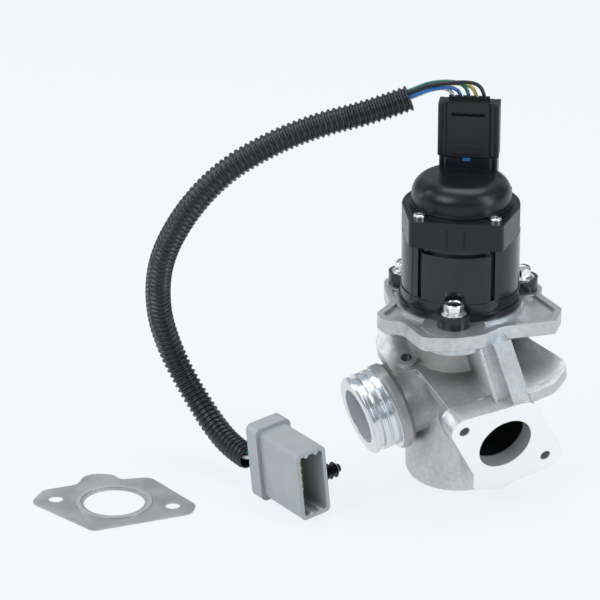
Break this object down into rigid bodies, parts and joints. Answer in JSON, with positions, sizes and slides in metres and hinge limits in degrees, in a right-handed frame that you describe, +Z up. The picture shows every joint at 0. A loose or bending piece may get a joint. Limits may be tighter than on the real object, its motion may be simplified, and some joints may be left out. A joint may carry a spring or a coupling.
{
  "type": "exhaust gas recirculation valve",
  "caption": "Electric exhaust gas recirculation valve: cast body with tilted plate, square port flange and clamp spigot, solenoid with domed cover, plug, wire harness and a loose port gasket.",
  "frame": {"origin": "on the actuator axis at the flat foot of the casting", "axes": "+Z up the actuator and valve axis, -Y towards the front ear"},
  "size_m": [0.2396, 0.11, 0.1896],
  "materials": {
    "cast_aluminium": "as cast",
    "stainless_steel": "turned",
    "spring_steel": "drawn",
    "zinc_steel": "zinc plated",
    "soft_iron": "turned",
    "bronze": "sintered",
    "copper": "enamelled winding",
    "tinned_brass": "tinned",
    "black_rubber": "smooth",
    "black_plastic": "satin, glass filled",
    "natural_plastic": "smooth",
    "track_substrate": "smooth",
    "conduit_plastic": "corrugated",
    "blue_rubber": "smooth",
    "grey_plastic": "satin",
    "dark_insert": "satin",
    "yellow_rubber": "smooth",
    "grommet_rubber": "smooth",
    "white_insulation": "smooth",
    "blue_insulation": "smooth",
    "green_insulation": "smooth",
    "yellow_insulation": "smooth",
    "black_insulation": "smooth",
    "gasket_steel": "coated sheet"
  },
  "bodies": {
    "valve_unit": {"valve_casting": "cast_aluminium", "seat_ring": "stainless_steel", "guide_plate": "stainless_steel", "guide_bush": "bronze", "stem_seal": "black_rubber", "spring_seat": "stainless_steel", "base_o_ring": "black_rubber", "solenoid_housing": "black_plastic", "ear_bushes": "zinc_steel", "ear_bolts": "zinc_steel", "yoke_cup": "soft_iron", "guide_sleeve": "stainless_steel", "coil_bobbin": "natural_plastic", "coil_winding": "copper", "upper_pole": "soft_iron", "collar": "black_plastic", "cover_seal": "black_rubber", "dome_cover": "black_plastic", "cover_screws": "zinc_steel", "sensor_track": "track_substrate", "terminal_pins": "tinned_brass", "plug_seal": "blue_rubber", "plug_body": "black_plastic", "plug_latch": "black_plastic", "plug_lock": "black_plastic", "conduit": "conduit_plastic", "connector_shell": "grey_plastic", "connector_collar": "grey_plastic", "connector_grommet": "grommet_rubber", "connector_insert": "dark_insert", "connector_pins": "tinned_brass", "connector_seal": "yellow_rubber", "lower_wires": "black_insulation", "fir_tree_clip": "black_plastic", "port_gasket": "gasket_steel", "wire_white": "white_insulation", "wire_blue": "blue_insulation", "wire_green": "green_insulation", "wire_yellow": "yellow_insulation", "wire_black": "black_insulation"},
    "valve": {"poppet_valve": "stainless_steel", "spring_retainer": "stainless_steel", "armature": "soft_iron", "return_spring": "spring_steel"},
    "sensor_slider": {"sensor_plunger": "natural_plastic", "sensor_wiper": "tinned_brass", "sensor_spring": "spring_steel"}
  },
  "joints": [
    {"name": "valve_lift", "type": "slide", "parent": "valve_unit", "child": "valve", "axis": [0, 0, 1], "range_m": [0, 0.006], "stiffness_N_per_m": 2500, "springref_m": -0.004, "deforming": ["return_spring"]},
    {"name": "sensor_lift", "type": "slide", "parent": "valve_unit", "child": "sensor_slider", "axis": [0, 0, 1], "range_m": [0, 0.006], "deforming": ["sensor_spring"]}
  ],
  "couplings": [
    {"joint": "sensor_lift", "follows": "valve_lift", "ratio": 1}
  ]
}
